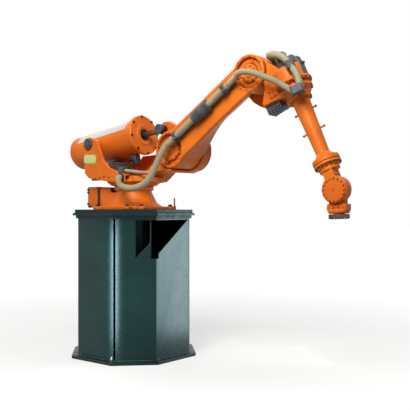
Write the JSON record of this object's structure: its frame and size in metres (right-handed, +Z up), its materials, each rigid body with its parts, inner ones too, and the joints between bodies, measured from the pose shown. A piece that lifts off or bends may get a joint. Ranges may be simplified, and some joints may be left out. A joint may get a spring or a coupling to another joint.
{
  "type": "industrial robot arm on a column",
  "caption": "Large six-axis shelf robot arm with gas balancer and hose dress pack on an eight-sided steel column with an access opening",
  "frame": {"origin": "on the floor, under the swivel axis and the middle of the foot plate", "axes": "+Z up, +X the way the arm points with the swivel at zero, -Y the side of the arm that carries the hoses"},
  "size_m": [3.3788, 1.21, 2.8965],
  "materials": {
    "column_green": "semi-gloss",
    "plate_green": "semi-gloss",
    "robot_orange": "semi-gloss",
    "black_metal": "satin",
    "steel": "satin",
    "rod_chrome": "polished",
    "hose_beige": "matte",
    "clamp_black": "matte"
  },
  "bodies": {
    "stand": {"foot_plate": "plate_green", "column_front_shell": "column_green", "column_rear_shell": "column_green", "column_rib_middle": "column_green", "column_rib_side": "column_green", "column_collar": "plate_green", "column_top_plate": "plate_green", "mounting_plate": "plate_green", "base_casting": "robot_orange", "connector_box": "robot_orange", "foot_bolts": "steel"},
    "swivel": {"swivel_frame": "robot_orange", "cradle_ear_near": "robot_orange", "cradle_ear_far": "robot_orange", "trunnion_cap_near": "black_metal", "trunnion_cap_far": "black_metal", "swivel_motor": "black_metal", "shoulder_motor": "black_metal", "hose_bulkhead": "black_metal", "shoulder_hose": "hose_beige"},
    "balancer": {"balancer_cylinder": "robot_orange", "balancer_front_flange": "robot_orange", "balancer_rear_cap": "robot_orange", "balancer_trunnions": "robot_orange", "balancer_valve_block": "black_metal"},
    "piston_rod": {"balancer_rod": "rod_chrome", "rod_eye": "black_metal"},
    "lower_arm": {"lower_arm": "robot_orange", "shoulder_cover": "robot_orange", "elbow_cover": "robot_orange", "balancer_lug": "robot_orange", "clamp_rail": "clamp_black", "lower_hose_clamp": "clamp_black", "upper_hose_clamp": "clamp_black", "hose_sleeve": "clamp_black", "arm_hose": "hose_beige", "elbow_hose": "hose_beige"},
    "upper_arm": {"elbow_housing": "robot_orange", "elbow_motor": "black_metal", "wrist_motors": "black_metal", "forearm_tube": "robot_orange", "forearm_hose_clamps": "clamp_black", "forearm_hose": "hose_beige"},
    "wrist_roll": {"wrist_fork": "robot_orange", "fork_cover_near": "robot_orange", "fork_cover_far": "robot_orange"},
    "wrist_bend": {"wrist_body": "robot_orange"},
    "tool": {"tool_flange": "black_metal"}
  },
  "joints": [
    {"name": "swivel_axis", "type": "hinge", "parent": "stand", "child": "swivel", "pos_m": [0, 0, 1.7], "axis": [0, 0, 1], "range_deg": [-180, 180]},
    {"name": "shoulder_axis", "type": "hinge", "parent": "swivel", "child": "lower_arm", "pos_m": [0.6, 0, 2.09], "axis": [0, 1, 0], "range_deg": [-45, 50], "deforming": ["shoulder_hose"]},
    {"name": "elbow_axis", "type": "hinge", "parent": "lower_arm", "child": "upper_arm", "pos_m": [1.55, 0, 2.725], "axis": [0, -1, 0], "range_deg": [-51, 78], "deforming": ["elbow_hose"]},
    {"name": "wrist_roll_axis", "type": "hinge", "parent": "upper_arm", "child": "wrist_roll", "pos_m": [2.388, 0, 1.664], "axis": [0.4226, 0, -0.9063], "range_deg": [-360, 360]},
    {"name": "wrist_bend_axis", "type": "hinge", "parent": "wrist_roll", "child": "wrist_bend", "pos_m": [2.388, 0, 1.664], "axis": [0, 1, 0], "range_deg": [-143, 97]},
    {"name": "tool_axis", "type": "hinge", "parent": "wrist_bend", "child": "tool", "pos_m": [2.388, 0, 1.664], "axis": [0.0349, 0, -0.9994], "range_deg": [-360, 360]},
    {"name": "balancer_swing", "type": "hinge", "parent": "swivel", "child": "balancer", "pos_m": [-0.399, 0, 2.19], "axis": [0, 1, 0], "range_deg": [-6.7, 6.05]},
    {"name": "balancer_stroke", "type": "slide", "parent": "balancer", "child": "piston_rod", "axis": [0.9885, 0, 0.1509], "range_m": [-0.1669, 0.1853]}
  ],
  "couplings": [
    {"joint": "balancer_swing", "follows": "shoulder_axis", "ratio": -0.13},
    {"joint": "balancer_stroke", "follows": "shoulder_axis", "m_per_rad": 0.21}
  ]
}
